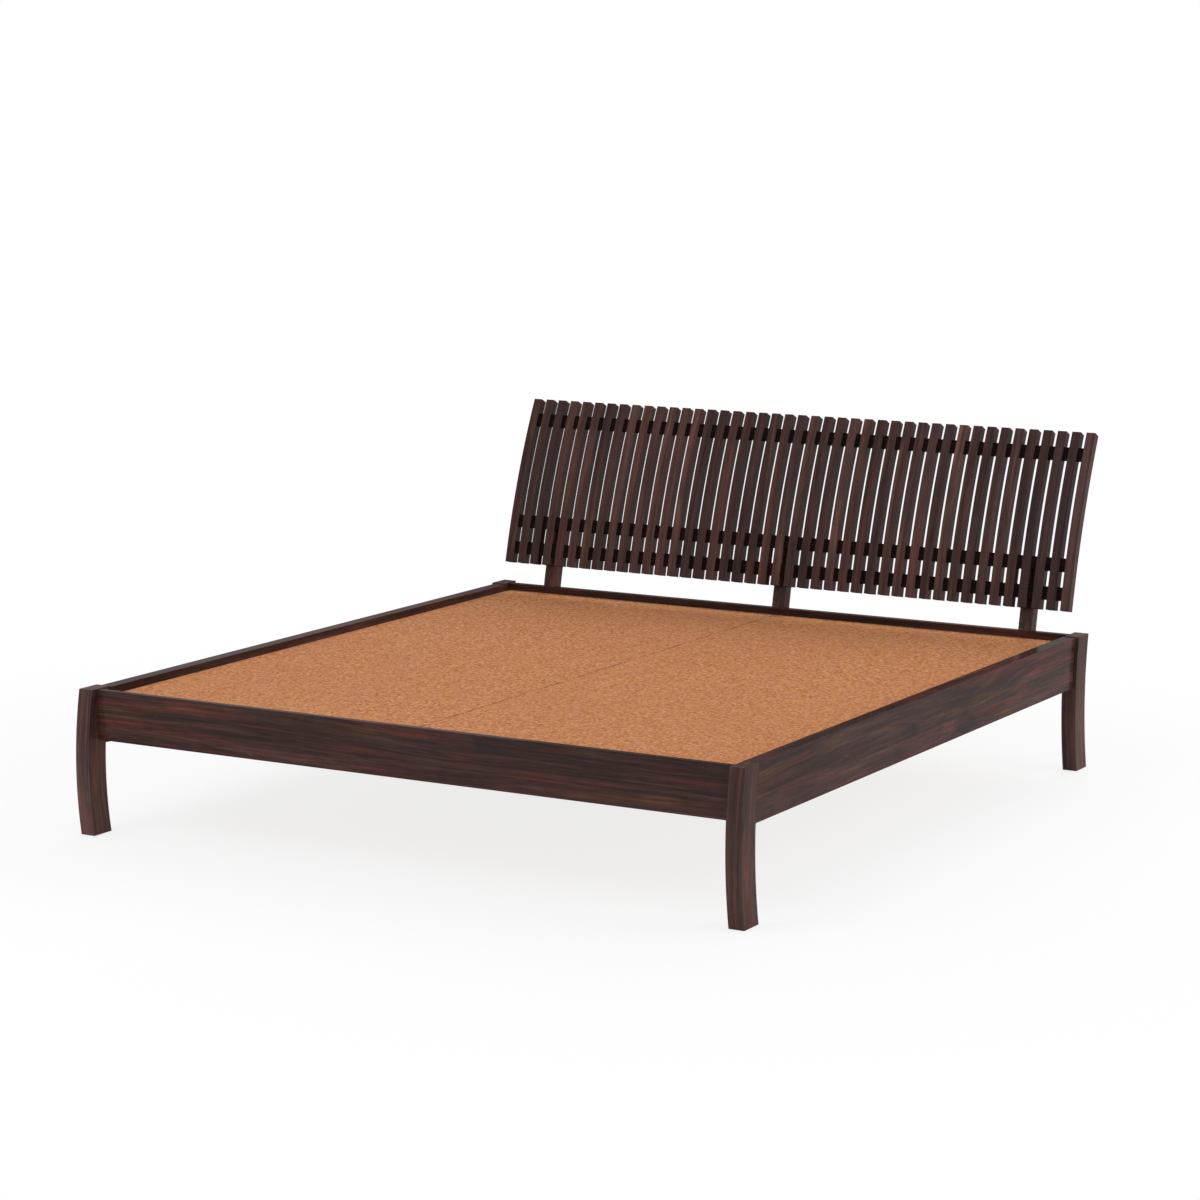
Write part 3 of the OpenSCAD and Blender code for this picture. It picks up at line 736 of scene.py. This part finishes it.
def screw(bm, points, kind, pitch):
    """Builds one screw where the frame's plain one has these points. Its axis is the direction in which the
    points spread most, found by repeated multiplication. Its head is at the end where they lie far out."""
    middle = sum(points, Vector()) / len(points)
    far = max(points, key=lambda p: (p - middle).length) - middle
    spin = Matrix(((0, 0, 0), (0, 0, 0), (0, 0, 0)))
    for p in points:
        spin += Matrix([[a * b for b in p - middle] for a in p - middle])
    axis = far.normalized()
    for _ in range(30):
        axis = (spin @ axis).normalized()
    along = [(p - middle).dot(axis) for p in points]
    out = [(p - middle - t * axis).length for p, t in zip(points, along)]
    if along[out.index(max(out))] < 0:
        axis = -axis
        along = [-t for t in along]
    reach, top, tip = max(out), max(along), min(along)
    shank = max(r for r, t in zip(out, along) if t < tip + NEAR_TIP)
    corner = points[out.index(reach)] - middle
    corner = (corner - corner.dot(axis) * axis).normalized()
    seat = middle + (top - HEAD_HEIGHT[kind]) * axis
    stand = Matrix.Translation(seat) @ Matrix([corner, axis.cross(corner), axis]).transposed().to_4x4()
    length = top - HEAD_HEIGHT[kind] - tip
    root = ROOT_SHARE * shank
    neck = SUNK_DEPTH if kind == "sunk" else 0.0
    plain = -PLAIN_SHARE * length
    rows = [set_points(bm, stand, ring) for ring in head_rings(kind, reach) + [
        round_ring(shank, -neck), round_ring(shank, plain), round_ring(root, plain - 0.0006)]]
    for upper, lower in zip(rows, rows[1:]):
        join_rows(bm, upper, lower)
    bm.faces.new(rows[0])
    taper = set_points(bm, stand, round_ring(0.9 * root, -length + POINT_START))
    point = set_points(bm, stand, round_ring(0.12 * shank, -length))
    thread(bm, stand, shank, root, plain - 0.0008, -length + THREAD_END, pitch, rows[-1], taper)
    join_rows(bm, taper, point)
    bm.faces.new(list(reversed(point)))


def islands(mesh):
    """The points of each separate solid in a mesh, in the mesh's own order, which is the same each run."""
    bm = bmesh.new()
    bm.from_mesh(mesh)
    bmesh.ops.remove_doubles(bm, verts=bm.verts[:], dist=SAME_POINT)
    met = set()
    for first in bm.verts:
        if first in met:
            continue
        met.add(first)
        found = [first]
        for vert in found:
            for edge in vert.link_edges:
                other = edge.other_vert(vert)
                if other not in met:
                    met.add(other)
                    found.append(other)
        yield [vert.co.copy() for vert in found]
    bm.free()


screw_zinc = zinc_steel("screw_steel", 0.0015)
for node, kind, pitch in (("bracket_screws", "hex", 0.0018), ("wood_screws", "sunk", 0.0018),
                          ("post_screws", "hex", 0.0032), ("batten_screws", "pan", 0.0024)):
    bm = bmesh.new()
    for points in islands(NODES[node].data):
        screw(bm, points, kind, pitch)
    mesh = bpy.data.meshes.new("threaded_" + node)
    bm.normal_update()
    bm.to_mesh(mesh)
    bm.free()
    mesh.materials.append(screw_zinc)
    obj = bpy.data.objects.new("threaded_" + node, mesh)
    bpy.context.scene.collection.objects.link(obj)
    modify(obj, "NODES", "Smooth", node_group=SMOOTH)
    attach(obj, "root")
    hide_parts(node)

# Floor, light and camera

FLOOR_HALF = 40.0
# How far from the middle the floor starts to fade to plain white and is there, and its share of white before
FADE_FROM = 1.4
FADE_TO = 3.0
NEAR_WHITE = 0.82


def rays(tree, first, *others):
    """A value that is 1 for rays of the given kinds and 0 for the rest."""
    path = add(tree, "ShaderNodeLightPath")
    seen = path.outputs[first]
    for kind in others:
        seen = calc(tree, "MAXIMUM", seen, path.outputs[kind])
    return seen


def pale_floor():
    """A white floor that keeps the bed's soft shadow and fades into the white surround."""
    made, tree, shader = new_material("pale_floor")
    tree.nodes.remove(shader)
    leave = next(n for n in tree.nodes if n.type == "OUTPUT_MATERIAL")
    x, y, _ = position(tree)
    away = spread(tree, hypotenuse(tree, x, y), FADE_FROM, FADE_TO, NEAR_WHITE, 1.0, smooth=True)
    seen = rays(tree, "Is Camera Ray", "Is Glossy Ray")
    lit = add(tree, "ShaderNodeBsdfDiffuse", {"Color": (0.9, 0.9, 0.9, 1.0)}).outputs[0]
    white = add(tree, "ShaderNodeEmission", {"Color": (1, 1, 1, 1), "Strength": 1.0}).outputs[0]
    mixed = add(tree, "ShaderNodeMixShader", {0: calc(tree, "MULTIPLY", away, seen), 1: lit, 2: white})
    tree.links.new(mixed.outputs[0], leave.inputs["Surface"])
    return made


mesh = bpy.data.meshes.new("floor")
mesh.from_pydata([(-FLOOR_HALF, -FLOOR_HALF, 0), (FLOOR_HALF, -FLOOR_HALF, 0),
                  (FLOOR_HALF, FLOOR_HALF, 0), (-FLOOR_HALF, FLOOR_HALF, 0)], [], [(0, 1, 2, 3)])
floor = bpy.data.objects.new("floor", mesh)
floor.data.materials.append(pale_floor())
bpy.context.scene.collection.objects.link(floor)


def white_world(level):
    """A white surround that lights the bed at the given level and shows as plain white."""
    world = bpy.data.worlds.new("surround")
    bpy.context.scene.world = world
    world.use_nodes = True
    tree = world.node_tree
    for stray in list(tree.nodes):
        tree.nodes.remove(stray)
    seen = rays(tree, "Is Camera Ray", "Is Glossy Ray", "Is Transmission Ray")
    lamp = add(tree, "ShaderNodeBackground", {"Color": (1, 1, 1, 1), "Strength": level}).outputs[0]
    shown = add(tree, "ShaderNodeBackground", {"Color": (1, 1, 1, 1), "Strength": 1.0}).outputs[0]
    mixed = add(tree, "ShaderNodeMixShader", {0: seen, 1: lamp, 2: shown})
    leave = add(tree, "ShaderNodeOutputWorld")
    tree.links.new(mixed.outputs[0], leave.inputs["Surface"])


def soft_light(name, at, target, size, power):
    """A round lamp that faces a target. Neither the camera nor gloss sees it."""
    lamp = bpy.data.lights.new(name, "AREA")
    lamp.shape = "DISK"
    lamp.size = size
    lamp.energy = power
    obj = bpy.data.objects.new(name, lamp)
    obj.location = at
    aim = Vector(target) - Vector(at)
    obj.rotation_euler = aim.to_track_quat("-Z", "Y").to_euler()
    obj.visible_glossy = False
    obj.visible_camera = False
    bpy.context.scene.collection.objects.link(obj)


WORLD_LEVEL = 0.61
white_world(WORLD_LEVEL)
soft_light("front", (-1.2, -3.6, 3.2), (0, -0.8, 0.3), 2.5, 53)
soft_light("right", (5.5, 1.2, 2.6), (0, 0, 0.3), 3.5, 104)
soft_light("back", (0.0, 5.3, 5.2), (0, 0.5, 0.4), 4.0, 152)

# The camera's angles in degrees: down from level, roll, and turn from a look along +Y towards -X
TILT, ROLL, TURN = 6.886, -0.052, 29.989
camera = bpy.data.cameras.new("camera")
camera.sensor_width = 36.0
camera.lens = 102.29
camera.shift_y = -0.12
camera.clip_end = 200.0
viewer = bpy.data.objects.new("camera", camera)
viewer.location = (4.4934, -7.8887, 2.0240)
viewer.rotation_euler = Euler((math.radians(90 - TILT), math.radians(ROLL), math.radians(TURN)))
bpy.context.scene.collection.objects.link(viewer)
bpy.context.scene.camera = viewer
bpy.context.scene.view_settings.view_transform = "Standard"
